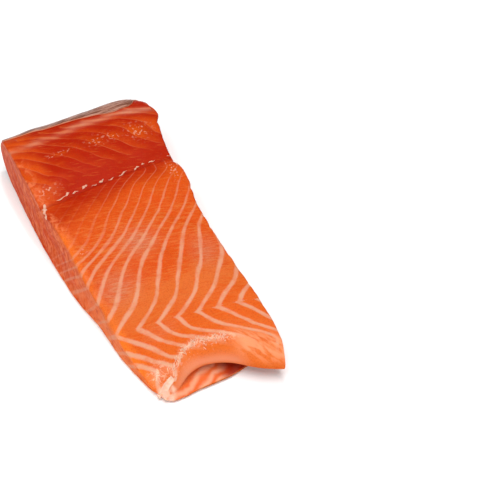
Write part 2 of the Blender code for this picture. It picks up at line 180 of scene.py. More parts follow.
# Back's fat lines, over the distance across the fish: place of line 0 and spacing
BACK_LINE = ((0.040, 0.0100), (0.044, 0.0050), (0.0465, 0.0010), (0.050, -0.0023), (0.055, -0.0070),
             (0.060, -0.0125), (0.065, -0.0215), (0.069, -0.0300), (0.072, -0.0390))
BACK_SPACING = ((0.044, 0.0086), (0.052, 0.0083), (0.066, 0.0104), (0.072, 0.0100))

# Uneven surface: (height, wavelength along the fish, wavelength across it, phase), how the waves
# wander, and how quickly those of a cut face set in from its borders
TOP_WAVES = ((0.00035, 0.047, 0.031, 0.4), (0.00022, 0.021, 0.026, 1.9), (0.00014, 0.012, 0.015, 4.1))
FACE_WAVES = ((0.00040, 0.033, 0.017, 0.9), (0.00025, 0.014, 0.009, 2.6))
WANDER = 1.3
WANDER_WAVES = 2.7
WAVES_SET_IN_LONG = 8.0
WAVES_SET_IN_THICK = 4.0

# Fine grain, as height and cell: on the top, in a strip behind the torn rim and on the cut faces, and
# the strip's middle behind the rim, its half width and where it starts
TOP_GRAIN = (0.00010, 0.0050)
RIM_GRAIN = (0.00022, 0.0022)
RIM_STRIP = (0.0015, 0.0040)
RIM_STRIP_STARTS = (-0.014, -0.006)
CUT_GRAIN = (0.00012, 0.0060)

# Half width and strength of the belly's fat lines, over the distance across the fish
LINE_HALF = ((-0.065, 0.00070), (-0.045, 0.00082), (-0.020, 0.00090), (0.000, 0.00070), (0.012, 0.00048),
             (0.022, 0.00034), (0.033, 0.00024))
LINE_STRENGTH = ((-0.060, 0.95), (-0.030, 0.88), (-0.010, 0.72), (0.006, 0.54), (0.020, 0.34),
                 (0.034, 0.22))

# How far the belly's and the back's fat sheets run towards the back for each metre below the top
SHEET_SLANT = 0.75
BACK_SLANT = 0.6

# Back's fat lines: half width, how much they widen in the pale band, and metres for each number
BACK_HALF = 0.00038
BACK_WIDENS = 0.0026
BACK_STEP = 0.0125

# Pale fat band near the back, over the place along the fish, and paleness across it
BAND_Y = ((-0.034, 0.0655), (-0.022, 0.0664), (-0.012, 0.0684), (0.000, 0.0695), (0.015, 0.0705),
          (0.026, 0.0692), (0.034, 0.0680))
BAND_HALF = 0.0019
PALE = ((-0.062, 1.0), (-0.054, 0.6), (-0.042, 0.5), (-0.036, 0.75), (-0.029, 0.95), (-0.022, 0.6),
        (-0.014, 0.15), (-0.005, 0.25), (0.006, 0.05), (0.014, 0.0))

# Wet spots with painted glints, and hazy pale patches: middle in plan, half width, half length and strength
WET_GLINT_SPOTS = ((-0.0260, 0.0390, 0.0045, 0.0022, 1.0), (-0.0240, 0.0040, 0.0025, 0.0012, 1.0),
             (0.0020, 0.0575, 0.0040, 0.0028, 1.0), (0.0100, 0.0575, 0.0025, 0.0020, 1.0),
             (0.0215, 0.0565, 0.0050, 0.0045, 1.0), (-0.0150, 0.0560, 0.0060, 0.0010, 1.0),
             (0.0270, 0.0300, 0.0020, 0.0060, 1.0))
VEILS = ((-0.0007, -0.0015, 0.0070, 0.0060, 0.42), (0.0230, -0.0165, 0.0060, 0.0080, 0.26),
         (-0.0165, -0.0180, 0.0080, 0.0070, 0.36), (-0.0080, -0.0440, 0.0070, 0.0040, 0.15))

# Turn of the fine streaks: along the muscle, on the cut faces, on the nose and on the skin
FIBRE_TURN = 0.25
CUT_STREAK_TILT = math.radians(52)
NOSE_STREAK_TURN = math.radians(55)
SKIN_STREAK_TURN = -0.06

# Kinds of surface
TOP, CUT, BELLY_END, BACK_END, FOOT = range(5)

# Points closer than one part of this many in a metre are one
MERGE_KEY = 1e7

# Cut ends of the pin bones and their fat: both ends of each fleck and its half width
PIN_FLECKS = (((-0.0316, 0.0258), (-0.0310, 0.0292), 0.0006), ((-0.0316, 0.0286), (-0.0297, 0.0338), 0.0012),
              ((-0.0246, 0.0338), (-0.0196, 0.0346), 0.0004), ((-0.0202, 0.0346), (-0.0178, 0.0359), 0.0007),
              ((-0.0170, 0.0348), (-0.0140, 0.0352), 0.0004), ((-0.0122, 0.0352), (-0.0096, 0.0366), 0.0008),
              ((-0.0082, 0.0350), (-0.0056, 0.0354), 0.0003), ((-0.0046, 0.0354), (-0.0020, 0.0366), 0.0006),
              ((-0.0004, 0.0354), (0.0024, 0.0358), 0.0003), ((0.0044, 0.0358), (0.0090, 0.0374), 0.0005),
              ((0.0118, 0.0370), (0.0147, 0.0378), 0.0005), ((0.0158, 0.0382), (0.0174, 0.0386), 0.0003),
              ((0.0190, 0.0384), (0.0224, 0.0390), 0.0004), ((0.0280, 0.0394), (0.0302, 0.0398), 0.0003),
              ((0.0300, 0.0324), (0.0305, 0.0340), 0.0004))
FLECK_HEIGHT = 0.0003
FLECK_LIFT = 0.00005
FLECK_BEND = 0.0002
FLECK_RINGS = 14
FLECK_SIDES = 10

# Torn fat fibres along the rim of the belly end. Scatter across the rim is in shares of RIM_REACH
FIBRE_SEED = 8
FIBRE_START = -0.0125
FIBRE_SPAN = 0.0275
RIM_REACH = 0.020
TUFT_SCATTER = 0.03
FIBRE_SCATTER = 0.035
FIBRE_SCATTER_X = 0.0010
FIBRE_HEADING = (0.2, 2.4)
FIBRE_BEND = (-1.6, 1.6)
FIBRE_TUFTS = 13
FIBRES_PER_TUFT = 13
FIBRE_RADIUS = (0.00009, 0.00021)
FIBRE_LENGTH = (0.0006, 0.0017)
FIBRE_RINGS = 7
FIBRE_SIDES = 5

# White membrane on the thin corner: middle line in plan, half width, height above and in the flesh
MEMBRANE_LINE = ((-0.0182, -0.0668), (-0.0160, -0.0662), (-0.0135, -0.0652), (-0.0108, -0.0640))
MEMBRANE_WIDTH = (0.0006, 0.0012, 0.0014, 0.0010)
MEMBRANE_LIFT = 0.0003
MEMBRANE_SINK = 0.0003
MEMBRANE_LEAN = 0.35
MEMBRANE_POINTS = (24, 13)

# Grid of the flesh: cells along, through and across it, and how they crowd towards both ends
CELLS_LONG = 300
CELLS_THICK = 44
CELLS_WIDE = 140
CROWDING_LONG = 0.35
CROWDING_WIDE = 0.60

# Grid of the skin: cells along it, across it and round its end
SKIN_CELLS_LONG = 200
SKIN_CELLS_WIDE = 90
SKIN_CELLS_TURN = 50
SKIN_CROWDING = 0.5

# First guess of a point's distance across the fish, and rounds that correct it
GUESS_START = -0.065
GUESS_RANGE = 0.137
ROUNDS = 8

# Floor and lights: name, place, size and power
FLOOR_REACH = 3.0
FLOOR_GREY = 0.96
SURROUNDINGS = 0.26
LIGHTS = (("overhead", (-0.10, -0.15, 1.10), 0.90, 10.5),
          ("front", (-0.50, -0.80, 0.45), 0.50, 3.4),
          ("small", (0.15, 0.30, 0.94), 0.12, 2.5))

# Colours
FLESH_DARK = (0.385, 0.013, 0.0005)
FLESH_MID = (0.605, 0.072, 0.004)
FLESH_PALE = (0.635, 0.138, 0.024)
FLESH_NEAR = (0.700, 0.120, 0.012)
# painted highlight: bright orange laid along the left edge, on the upper belly end and in the wet spots
FLESH_HIGHLIGHT = (0.800, 0.170, 0.018)
FLESH_VEIL = (0.520, 0.280, 0.170)
# painted shade in the narrow crease below the pin row
CREASE_SHADE = (0.300, 0.010, 0.0010)
CUT_ORANGE = (0.620, 0.045, 0.0020)
CUT_BROWN = (0.600, 0.066, 0.004)
CUT_DARK = (0.440, 0.028, 0.0020)
CUT_PALE = (0.740, 0.190, 0.070)
CUT_LOW = (0.810, 0.205, 0.065)
FAT_LINE = (0.670, 0.322, 0.200)
FAT_FAINT = (0.560, 0.110, 0.035)
FAT_PINK = (0.580, 0.215, 0.125)
FAT_WHITE = (0.800, 0.540, 0.410)
FAT_BONE = (0.640, 0.350, 0.250)
FAT_FIBRE = (0.850, 0.500, 0.350)
LIP_PINK = (0.760, 0.240, 0.115)
NOSE_PALE = (0.820, 0.290, 0.130)
# deep red of the hollow under the nose: the flesh's own dark red with painted shade
HOLLOW_RED_AND_SHADE = (0.330, 0.014, 0.002)
WEDGE_PALE = (0.780, 0.320, 0.180)
WEDGE_DARK = (0.720, 0.130, 0.030)
SKIN_SILVER = (0.24, 0.23, 0.22)
SKIN_DARK = (0.045, 0.042, 0.038)
# painted glints on the scales
SKIN_GLINT = (0.56, 0.51, 0.47)
SKIN_PINK = (0.43, 0.215, 0.155)
SKIN_BROWN = (0.17, 0.050, 0.022)
SKIN_CUT = (0.62, 0.240, 0.130)


def hermite(t, step, ends, slopes):
    """Smooth curve between two end values with their slopes, for t from 0 to 1 over a step."""
    value = (2 * t**3 - 3 * t**2 + 1) * ends[0] + (3 * t**2 - 2 * t**3) * ends[1]
    return value + (t**3 - 2 * t**2 + t) * step * slopes[0] + (t**3 - t**2) * step * slopes[1]


def curve(keys, place):
    """Smooth curve through (place, value) keys, constant beyond both ends."""
    places, values = np.array(keys).T
    slopes = np.gradient(values, places)
    slopes[0] = 0.5 * slopes[0]
    slopes[-1] = 0.5 * slopes[-1]
    place = np.clip(np.asarray(place, dtype=float), places[0], places[-1])
    first = np.clip(np.searchsorted(places, place) - 1, 0, len(places) - 2)
    step = places[first + 1] - places[first]
    ends = (values[first], values[first + 1])
    return hermite((place - places[first]) / step, step, ends, (slopes[first], slopes[first + 1]))


def ramp(value, low, high):
    """Soft step from 0 at low to 1 at high."""
    t = np.clip((value - low) / (high - low), 0, 1)
    return t * t * (3 - 2 * t)


def bell(value, width):
    """Smooth bump, 1 at zero."""
    return np.exp(-((value / width) ** 2))


def waves(table, a, b):
    """Gentle unevenness: a few crossed sine waves."""
    total = np.zeros(np.broadcast(a, b).shape)
    for height, length_a, length_b, phase in table:
        bends = WANDER * np.sin(2 * math.pi * b / (WANDER_WAVES * length_b))
        along = np.sin(2 * math.pi * a / length_a + phase + bends)
        crossing = np.sin(2 * math.pi * b / length_b + 2.0 * phase)
        total += height * along * crossing
    return total


def lattice(i, j, seed):
    """Repeatable random number from 0 to 1 for whole numbers i and j."""
    value = np.sin(i * 127.1 + j * 311.7 + seed * 74.7) * 43758.5453
    return value - np.floor(value)


def noise(a, b, size, seed, octaves=3):
    """Smooth noise from about -1 to 1 over two coordinates; size is the largest cell."""
    total = np.zeros(np.broadcast(a, b).shape)
    weight = 1.0
    for octave in range(octaves):
        u = a / size * 2**octave + 13.7 * seed
        v = b / size * 2**octave + 7.3 * seed
        i = np.floor(u)
        j = np.floor(v)
        s = u - i
        t = v - j
        s = s * s * (3 - 2 * s)
        t = t * t * (3 - 2 * t)
        low = (1 - s) * lattice(i, j, seed + octave) + s * lattice(i + 1, j, seed + octave)
        high = (1 - s) * lattice(i, j + 1, seed + octave) + s * lattice(i + 1, j + 1, seed + octave)
        total += weight * (2 * ((1 - t) * low + t * high) - 1)
        weight *= 0.5
    return total / 1.4


def wander(along, size, cell, seed):
    """Noise over one coordinate, of a size and with its largest cell."""
    return size * noise(along, along * 0, cell, seed)


def spots(x, y, places):
    """Soft patches, each with its middle in plan, half width, half length and strength."""
    total = 0
    for middle_x, middle_y, half_x, half_y, strength in places:
        total = total + strength * bell(np.hypot((x - middle_x) / half_x, (y - middle_y) / half_y), 1.0)
    return total


def left_edge(y, height_share):
    """X of the left cut face at a share of its height."""
    x = (1 - height_share) * curve(LEFT_FOOT, y) + height_share * curve(LEFT_TOP, y)
    return x + wander(y, *LEFT_WANDER)


def right_edge(y, height_share):
    """X of the right cut face at a share of its height."""
    x = curve(RIGHT_TOP, y)
    for crag_y, depth, half_width in RIGHT_CRAGS:
        x = x - depth * bell(y - crag_y, half_width)
    x = x + wander(y, *RIGHT_WANDER)
    return x - curve(RIGHT_UNDERCUT, y) * (1 - height_share)


def flake_number(x, y):
    """Which flake of the belly a point lies in; whole numbers are the fat lines."""
    beyond = y - (CHEVRON_Y + CHEVRON_LEAN * x)
    place = np.where(beyond > 0, curve(LINE_ABOVE, beyond), curve(LINE_BELOW, beyond))
    spacing = np.where(beyond > 0, curve(SPACING_ABOVE, beyond), curve(SPACING_BELOW, beyond))
    straight = (x - place) / spacing
    number = straight
    for _ in range(2):
        shift = 0
        for distance, width, shifts in BENDS:
            shift = shift + bell(beyond - distance, width) * curve(shifts, number)
        number = straight - shift / spacing
    return number


def from_pin_row(x, y):
    """Distance from the row of pin bones, positive towards the back."""
    return y - (PIN_ROW_Y + PIN_ROW_LEAN * x)


def crease_height(x, y):
    """How much of the narrow crease is at a point, 1 in its middle."""
    return bell(from_pin_row(x, y) + CREASE_BELOW_ROW + wander(x, *CREASE_WANDER), CREASE_WIDTH)


def top_height(x, y):
    """Height of the top surface."""
    left = left_edge(y, 1.0)
    right = right_edge(y, 1.0)
    share = np.clip((x - left) / (right - left), 0, 1)
    climb = 1 - (1 - share) ** curve(CLIMB, y)
    height = curve(LEFT_HEIGHT, y) * (1 - climb) + curve(RIGHT_HEIGHT, y) * climb
    thick = np.clip(height / FULL_THICK, 0, 1)
    height = height + CROWN * thick * (1 - (2 * share - 1) ** 2)

    from_row = from_pin_row(x, y)
    width = np.where(from_row > 0, PIN_VALLEY_BACK_WIDTH, PIN_VALLEY_BELLY_WIDTH)
    height = height - PIN_VALLEY_DEPTH * bell(from_row, width)

    flake = flake_number(x, y)
    from_line = np.abs(flake - np.round(flake)) * FLAKE_WIDTH
    in_belly = np.clip(-from_row / LINE_FADE, 0, 1)
    height = height - LINE_GROOVE * thick * in_belly * bell(from_line, LINE_GROOVE_WIDTH)
    height = height - CREASE_DEPTH * crease_height(x, y)
    height = height + thick * waves(TOP_WAVES, x, y)
    height = height + TOP_GRAIN[0] * thick * noise(x, y, TOP_GRAIN[1], 11)
    strip = bell(y - curve(RIM_Y, x) - RIM_STRIP[0], RIM_STRIP[1]) * ramp(x, *RIM_STRIP_STARTS)
    height = height + RIM_GRAIN[0] * strip * thick * noise(x, y, RIM_GRAIN[1], 13)

    from_edge = np.minimum(x - left, right - x)
    bend = np.clip(1 - from_edge / EDGE_ROUND, 0, 1)
    return height - EDGE_ROUND * thick * (1 - np.sqrt(1 - ROUND_SHARE * bend**2))


def eased(count, crowding):
    """Shares from 0 to 1, closer together towards both ends."""
    even = np.linspace(0, 1, count + 1)
    return even - crowding * np.sin(2 * math.pi * even) / (2 * math.pi)


def sheet_places(front, shares_long, shares_wide, height_share):
    """Plan positions of a sheet of cells between a front line and the back end's top line."""
    y = np.repeat((GUESS_START + GUESS_RANGE * shares_long)[:, None], len(shares_wide), axis=1)
    share = np.repeat(shares_wide[None, :], len(shares_long), axis=0)
    for _ in range(ROUNDS):
        x = (1 - share) * left_edge(y, height_share) + share * right_edge(y, height_share)
        start = curve(front, x)
        y = start + (curve(BACK_Y, x) - start) * shares_long[:, None]
    return x, y


def knots_curve(values, beyond, share):
    """Smooth curve over FACE_KNOTS through arrays of values; beyond sets the slope at the rim."""
    knots = np.array(FACE_KNOTS)
    slopes = [(values[1] - values[0]) / (knots[1] - knots[0])]
    for i in (1, 2):
        slopes.append((values[i + 1] - values[i - 1]) / (knots[i + 1] - knots[i - 1]))
    slopes.append((beyond - values[2]) / (2 * (knots[3] - knots[2])))
    result = np.zeros(np.shape(share))
    for i in range(3):
        step = knots[i + 1] - knots[i]
        t = np.clip((share - knots[i]) / step, 0, 1)
        inside = (share >= knots[i]) & (share <= knots[i + 1])
        result = np.where(inside, hermite(t, step, values[i:i + 2], slopes[i:i + 2]), result)
    return result


def belly_face(x, share):
    """Y and Z of the belly end at a share of the way from its toe to its rim."""
    rim_y = curve(RIM_Y, x)
    rim_z = top_height(x, rim_y)
    knot_y = (curve(TOE_Y, x), curve(HOLLOW_Y, x), curve(NOSE_Y, x), rim_y)
    knot_z = (FLESH_FOOT + 0 * x, curve(HOLLOW_Z, x), curve(NOSE_Z, x), rim_z)
    y = knots_curve(knot_y, rim_y + RIM_RUN, share)
    z = knots_curve(knot_z, rim_z + RIM_RISE, share)
    uneven = np.sin(math.pi * share) * waves(FACE_WAVES, x, z)
    return y + uneven * np.clip(rim_z / FULL_THICK, 0, 1), z


def back_face(x, angle, outset):
    """Y and Z of the round back end at an angle from -90 at the foot to +90 degrees at the top."""
    line_y = curve(BACK_Y, x)
    top = top_height(x, line_y)
    half = 0.5 * (top - FLESH_FOOT)
    y = line_y + (curve(BACK_REACH, x) + outset) * np.cos(angle)
    z = FLESH_FOOT + half + (half + outset) * np.sin(angle)
    return y, z


def stack(x, y, z):
    """Points in the part's frame from arrays in the outlines' frame."""
    return np.stack([x, y - MIDDLE_Y, z + 0 * x], axis=-1)


def cut_face(foot, top, belly, back, shares_long, shares_thick):
    """Knife-cut side: a sheet between its four borders, with slight waves inside them."""
    s = shares_long[:, None, None]
    t = shares_thick[None, :, None]
    sheet = (1 - t) * foot[:, None] + t * top[:, None] + (1 - s) * belly[None] + s * back[None]
    sheet -= (1 - s) * (1 - t) * foot[0] + s * (1 - t) * foot[-1] + (1 - s) * t * top[0] + s * t * top[-1]
    inside_long = np.clip(WAVES_SET_IN_LONG * s * (1 - s), 0, 1)[..., 0]
    inside = inside_long * np.clip(WAVES_SET_IN_THICK * t * (1 - t), 0, 1)[..., 0]
    sheet[..., 0] += inside * waves(FACE_WAVES, sheet[..., 1], sheet[..., 2])
    sheet[..., 0] += CUT_GRAIN[0] * inside * noise(sheet[..., 1], 3 * sheet[..., 2], CUT_GRAIN[1], 23)
    return sheet


def add_object(name, data):
    """A new object in the scene."""
    obj = bpy.data.objects.new(name, data)
    bpy.context.scene.collection.objects.link(obj)
    return obj


class Shell:
    """Collects grids of points and faces; points at the same place are one."""

    def __init__(self):
        self.points = []
        self.faces = []
        self.kinds = []
        self.shares = []
        self.count = 0

    def add(self, points, kind, shares):
        """Points with the kind of surface that they lie on and their share of its height."""
        self.points.append(points)
        self.kinds.append(np.full(len(points), kind))
        self.shares.append(np.broadcast_to(shares, (len(points),)))
        self.count += len(points)

    def sheet(self, grid, flip, kind=0, shares=1.0):
        """A grid of points as quads."""
        rows, columns = grid.shape[:2]
        numbers = self.count + np.arange(rows * columns).reshape(rows, columns)
        quads = np.stack([numbers[:-1, :-1], numbers[1:, :-1], numbers[1:, 1:], numbers[:-1, 1:]], axis=-1)
        quads = quads.reshape(-1, 4)
        self.faces += (quads[:, ::-1] if flip else quads).tolist()
        self.add(grid.reshape(-1, 3), kind, np.broadcast_to(shares, (rows, columns)).reshape(-1))

    def band(self, first, second, flip):
        """A strip of quads between two lines of points."""
        self.sheet(np.stack([first, second], axis=1), flip)

    def flat(self, grid, flip, kind=0, shares=0.0):
        """The outline of a flat grid of points as one face."""
        outline = np.concatenate([grid[:, 0], grid[-1, 1:], grid[-2::-1, -1], grid[0, -2:0:-1]])
        face = list(range(self.count, self.count + len(outline)))
        self.faces.append(face[::-1] if flip else face)
        self.add(outline, kind, shares)

    def build(self, name):
        """The closed mesh as an object, with its points' kinds and shares."""
        points = np.concatenate(self.points)
        keys = np.round(points * MERGE_KEY).astype(np.int64)
        unique, first, back = np.unique(keys, axis=0, return_index=True, return_inverse=True)
        back = back.reshape(-1)
        faces = []
        for face in self.faces:
            corners = list(dict.fromkeys(int(back[i]) for i in face))
            if len(corners) > 2:
                faces.append(corners)
        mesh = bpy.data.meshes.new(name)
        mesh.from_pydata(points[first].tolist(), [], faces)
        mesh.update()
        mesh.shade_smooth()
        return add_object(name, mesh), np.concatenate(self.kinds)[first], np.concatenate(self.shares)[first]


def mesh_points(obj):
    """The mesh's points in the outlines' frame, as x, y and z arrays."""
    places = np.zeros(len(obj.data.vertices) * 3)
    obj.data.vertices.foreach_get("co", places)
    places = places.reshape(-1, 3)
    return places[:, 0], places[:, 1] + MIDDLE_Y, places[:, 2]


def store(obj, name, values):
    """Keep one number for each point of the mesh, for its material."""
    layer = obj.data.attributes.new(name, "FLOAT", "POINT")
    layer.data.foreach_set("value", np.asarray(values, dtype=np.float32))


def make_flesh():
    """The flesh's fine surface, over the same forms as its solid."""
    shares_long = eased(CELLS_LONG, CROWDING_LONG)
    shares_wide = eased(CELLS_WIDE, CROWDING_WIDE)
    shares_thick = np.linspace(0, 1, CELLS_THICK + 1)
    top_x, top_y = sheet_places(RIM_Y, shares_long, shares_wide, 1.0)
    top = stack(top_x, top_y, top_height(top_x, top_y))
    foot_x, foot_y = sheet_places(TOE_Y, shares_long, shares_wide, 0.0)
    foot = stack(foot_x, foot_y, FLESH_FOOT)
    thick = shares_thick[:, None]
    belly_x = foot_x[0] * (1 - thick) + top_x[0] * thick
    belly = stack(belly_x, *belly_face(belly_x, thick + 0 * belly_x))
    back_x = foot_x[-1] * (1 - thick) + top_x[-1] * thick
    back = stack(back_x, *back_face(back_x, math.pi * (thick - 0.5), 0.0))

    shell = Shell()
    shell.sheet(top, flip=True, kind=TOP)
    shell.flat(foot, flip=False, kind=FOOT)
    for side in (0, -1):
        borders = [sheet[:, side] for sheet in (foot, top, belly, back)]
        face = cut_face(*borders, shares_long, shares_thick)
        shell.sheet(face, flip=side == 0, kind=CUT, shares=shares_thick)
    shell.sheet(belly, flip=True, kind=BELLY_END, shares=thick)
    shell.sheet(back, flip=False, kind=BACK_END, shares=thick)
    obj, kinds, shares = shell.build("flesh_surface")
    paint_flesh(obj, kinds, shares)
    obj.data.materials.append(flesh_material())
    return obj


def paint_flesh(obj, kinds, shares):
    """Numbers that the flesh's material reads: fat lines, tones and kinds of surface."""
    keep = partial(store, obj)
    x, y, z = mesh_points(obj)
    rim = curve(RIM_Y, x)
    depth = np.clip(top_height(x, np.clip(y, rim, curve(BACK_Y, x))) - z, 0, None)
    on_top = kinds == TOP
    depth = np.where(on_top, 0, depth)
    on_cut = (kinds == CUT) * 1.0
    end = (kinds == BELLY_END) * 1.0
    row = from_pin_row(x, y)
    from_left = x - left_edge(y, 1.0)
    from_right = right_edge(y, 1.0) - x

    # Fat lines of the belly: number, half width and strength
    line_x = x + np.clip(-from_left, 0, None) - np.clip(-from_right, 0, None)
    line_x = line_x + 0.00040 * noise(x, y, 0.011, 31) + 0.00020 * noise(x, y, 0.0028, 32)
    line_y = y - SHEET_SLANT * depth
    step = 0.0002
    slope_x = (flake_number(line_x + step, line_y) - flake_number(line_x - step, line_y)) / (2 * step)
    slope_y = (flake_number(line_x, line_y + step) - flake_number(line_x, line_y - step)) / (2 * step)
    half = curve(LINE_HALF, line_y) * (1 + 0.30 * noise(x, y, 0.0060, 33)) * (1 - 0.35 * on_cut)
    keep("line", flake_number(line_x, line_y))
    keep("line_half", half * np.hypot(slope_x, slope_y))
    strength = curve(LINE_STRENGTH, line_y) * (1 - ramp(row, -0.004, 0.001))
    faint_left = ramp(line_x + 0.55 * (0.022 - line_y), -0.017, 0.005)
    strength = strength * (0.15 + 0.85 * np.maximum(faint_left, 1 - ramp(line_y, -0.002, 0.014)))
    strength = strength * (1 - 0.35 * on_cut) * (1 - end * (1 - 0.7 * ramp(shares, 0.84, 1.0)))
    keep("line_strength", strength)

    # Fat lines of the back, which widen into the pale band
    back_x = x + 0.0006 * noise(x, y, 0.009, 41) + 0.0002 * noise(x, y, 0.003, 42)
    back_y = y + BACK_SLANT * depth
    band = bell(back_y - curve(BAND_Y, x) - 0.0006 * noise(x, y, 0.010, 46), BAND_HALF)
    back_half = BACK_HALF + BACK_WIDENS * band * (1 + 0.5 * noise(x, y, 0.008, 44))
    keep("back_line", (back_x - curve(BACK_LINE, back_y)) / curve(BACK_SPACING, back_y))
    keep("back_half", back_half / BACK_STEP)
    patchy = 0.35 + 0.65 * ramp(noise(x, y, 0.013, 43), -0.3, 0.3)
    in_back = ramp(row, 0.004, 0.009) * ramp(0.0745 - y, 0.0, 0.002) * (1 - 0.7 * on_cut)
    keep("back", in_back)
    keep("back_strength", in_back * np.clip(0.52 * patchy + 0.75 * band, 0, 1))
    keep("band", in_back * band * (0.55 + 0.45 * noise(x, y, 0.006, 45)))

    # Tones
    tone = ramp(0.0262 + 0.28 * x - line_y, -0.0125, 0.0110)
    tone = tone + 0.35 * ramp(x, 0.008, 0.020) * bell(y - 0.057, 0.009)
    tone = tone + 0.60 * (1 - ramp(from_left, 0.002, 0.017)) * ramp(y, 0.020, 0.036)
    keep("tone", np.clip(tone + 0.10 * noise(x, y, 0.022, 51), 0, 1))
    keep("pale", np.clip(curve(PALE, y) + 0.25 * noise(x, y, 0.016, 52), 0, 1))
    keep("near", ramp(-y, 0.030, 0.052))
    keep("veil", spots(x, y, VEILS) * on_top)
    keep("beside", 1.25 * bell(y - 0.002, 0.018) + 0.4 * bell(y + 0.050, 0.020))
    # Painted shade: darker red in the narrow crease
    keep("crease_shade", on_top * crease_height(x, y) * (0.55 + wander(x, 0.35, 0.008, 72)))
    # Painted highlight: brighter orange along the left edge of the top and over the upper part of the belly
    # end
    painted_highlight = (1 - ramp(from_left, 0.0005, 0.0045)) * (1 - ramp(y, 0.010, 0.024))
    painted_highlight = painted_highlight * (0.45 + 0.55 * ramp(wander(y, 1.0, 0.013, 53), -0.2, 0.4))
    painted_highlight = painted_highlight * (1 - on_cut * ramp(depth, 0.0002, 0.0022))
    keep("painted_highlight", painted_highlight + 0.35 * end * ramp(shares, 0.60, 0.75))
    cut = 0.35 + 0.65 * ramp(depth, 0.0002, 0.0050) + 0.45 * noise(y, z, 0.0045, 55)
    keep("cut", on_cut * np.clip(cut, 0.15, 1))
    from_edge = np.clip(from_left, 0, None) + 0.6 * depth
    edge_fat = bell(from_edge - 0.0010, 0.0026) * ramp(y, -0.045, 0.015) * (on_top + on_cut)
    edge_fat = edge_fat * ramp(noise(y, from_edge * 2.0, 0.0042, 54), -0.25, 0.35)
    keep("edge_fat", edge_fat)
    keep("low", on_cut * (1 - ramp(y, -0.030, 0.020)))
    # Wet spots: lower roughness, and painted glints in the colour
    wet_glints = spots(x, y, WET_GLINT_SPOTS) * on_top
    wet_glints = wet_glints + 0.8 * end * bell(shares - 0.90, 0.07) * bell(x + 0.001, 0.009)
    keep("wet_glints", np.clip(wet_glints, 0, 1))

    # Belly end: the lip below the rim, the hollow under the nose, darkened with painted shade, the wedge of
    # the foot and the pale nose, and the white thin corner and torn fat on the rim
    lip = bell(shares - 0.72, 0.075 + 0.12 * (1 - ramp(x, -0.012, 0.004))) * ramp(x, -0.016, -0.006)
    keep("lip", end * lip * (1 - ramp(x, 0.014, 0.022)))
    # Hollow under the nose: partly the flesh's own deep red, partly painted shade from the overhang
    hollow_shade = bell(shares - 0.40, 0.17) * ramp(x, -0.002, 0.016)
    hollow_shade = hollow_shade + 0.9 * (1 - ramp(shares, 0.30, 0.50)) * ramp(x, 0.007, 0.014)
    keep("hollow_shade", end * np.clip(hollow_shade, 0, 1))
    keep("wedge", end * (1 - ramp(shares, 0.48, 0.60)))
    keep("wedge_line", (y + 0.070 - 0.50 * (x + 0.012)) / 0.0045 + 0.5 * noise(x, y, 0.006, 61))
    nose = end * ramp(shares, 0.70, 0.90) + on_top * bell(y - rim, 0.0050)
    keep("nose", nose * ramp(x, 0.013, 0.021))
    corner = bell(np.hypot(x + 0.0150, y + 0.0680), 0.0040) * (1 + 0.8 * noise(x, y, 0.0018, 62))
    keep("corner", 0.75 * ramp(corner, 0.25, 0.85) * (kinds != FOOT))
    rim_fat = ramp(x, -0.012, -0.006) * (1 - ramp(x, 0.012, 0.022)) * bell(y - rim - 0.0004, 0.0016)
    left_rim = bell(x + 0.0100 + 0.35 * (y + 0.062), 0.0013) * bell(y + 0.062, 0.0045)
    froth = 1.1 * bell(np.hypot(x + 0.0155, y + 0.0595), 0.0032)
    rim_fat = np.clip(rim_fat + left_rim + froth, 0, 1)
    keep("rim_fat", rim_fat * np.maximum(on_top, ramp(shares, 0.86, 1.0)))


def near_rim(x, share):
    """Point on the belly end below share 1, and beyond it on the top."""
    face_y, face_z = belly_face(x, np.clip(share, 0, 1))
    top_y = curve(RIM_Y, x) + np.clip(share - 1, 0, None) * RIM_REACH
    return stack(x, np.where(share < 1, face_y, top_y), np.where(share < 1, face_z, top_height(x, top_y)))


def tube_rings(shell, middles, radii, sides, flat=1.0):
    """A closed tube round a line of points; flat below 1 presses it down."""
    along = np.gradient(middles, axis=0)
    along = along / np.linalg.norm(along, axis=1)[:, None]
    aside = np.cross(along, (0.0, 0.0, 1.0))
    aside = aside / np.linalg.norm(aside, axis=1)[:, None]
    above = np.cross(aside, along)
    turn = np.linspace(0, 2 * math.pi, sides + 1)[None, :, None]
    ring = np.cos(turn) * aside[:, None] + flat * np.sin(turn) * above[:, None]
    ring[:, -1] = ring[:, 0]
    shell.sheet(middles[:, None] + radii[:, None, None] * ring, flip=False)


def fat_piece(shell, name, material, colour, depth):
    """A closed shell as an object of moist white fat."""
    obj = shell.build(name)[0]
    obj.data.materials.append(fat_material(material, colour, depth))
    return obj


def make_flecks():
    """White ends of the cut pin bones and their fat, which stand out of the row."""
    shell = Shell()
    for number, (start, end, half_width) in enumerate(PIN_FLECKS):
        share = np.linspace(0, 1, FLECK_RINGS)
        x = start[0] + (end[0] - start[0]) * share
        y = start[1] + (end[1] - start[1]) * share + FLECK_BEND * np.sin(7 * share + number)
        swell = np.sin(math.pi * share) ** 0.9 * (0.8 + 0.8 * noise(share, share * 0, 0.22, 80 + number, 2))
        middles = stack(x, y, top_height(x, y) + FLECK_LIFT)
        tube_rings(shell, middles, half_width * swell, FLECK_SIDES, FLECK_HEIGHT / half_width)
    return fat_piece(shell, "pin_bone_ends", "bone_fat", FAT_BONE, 0.0004)


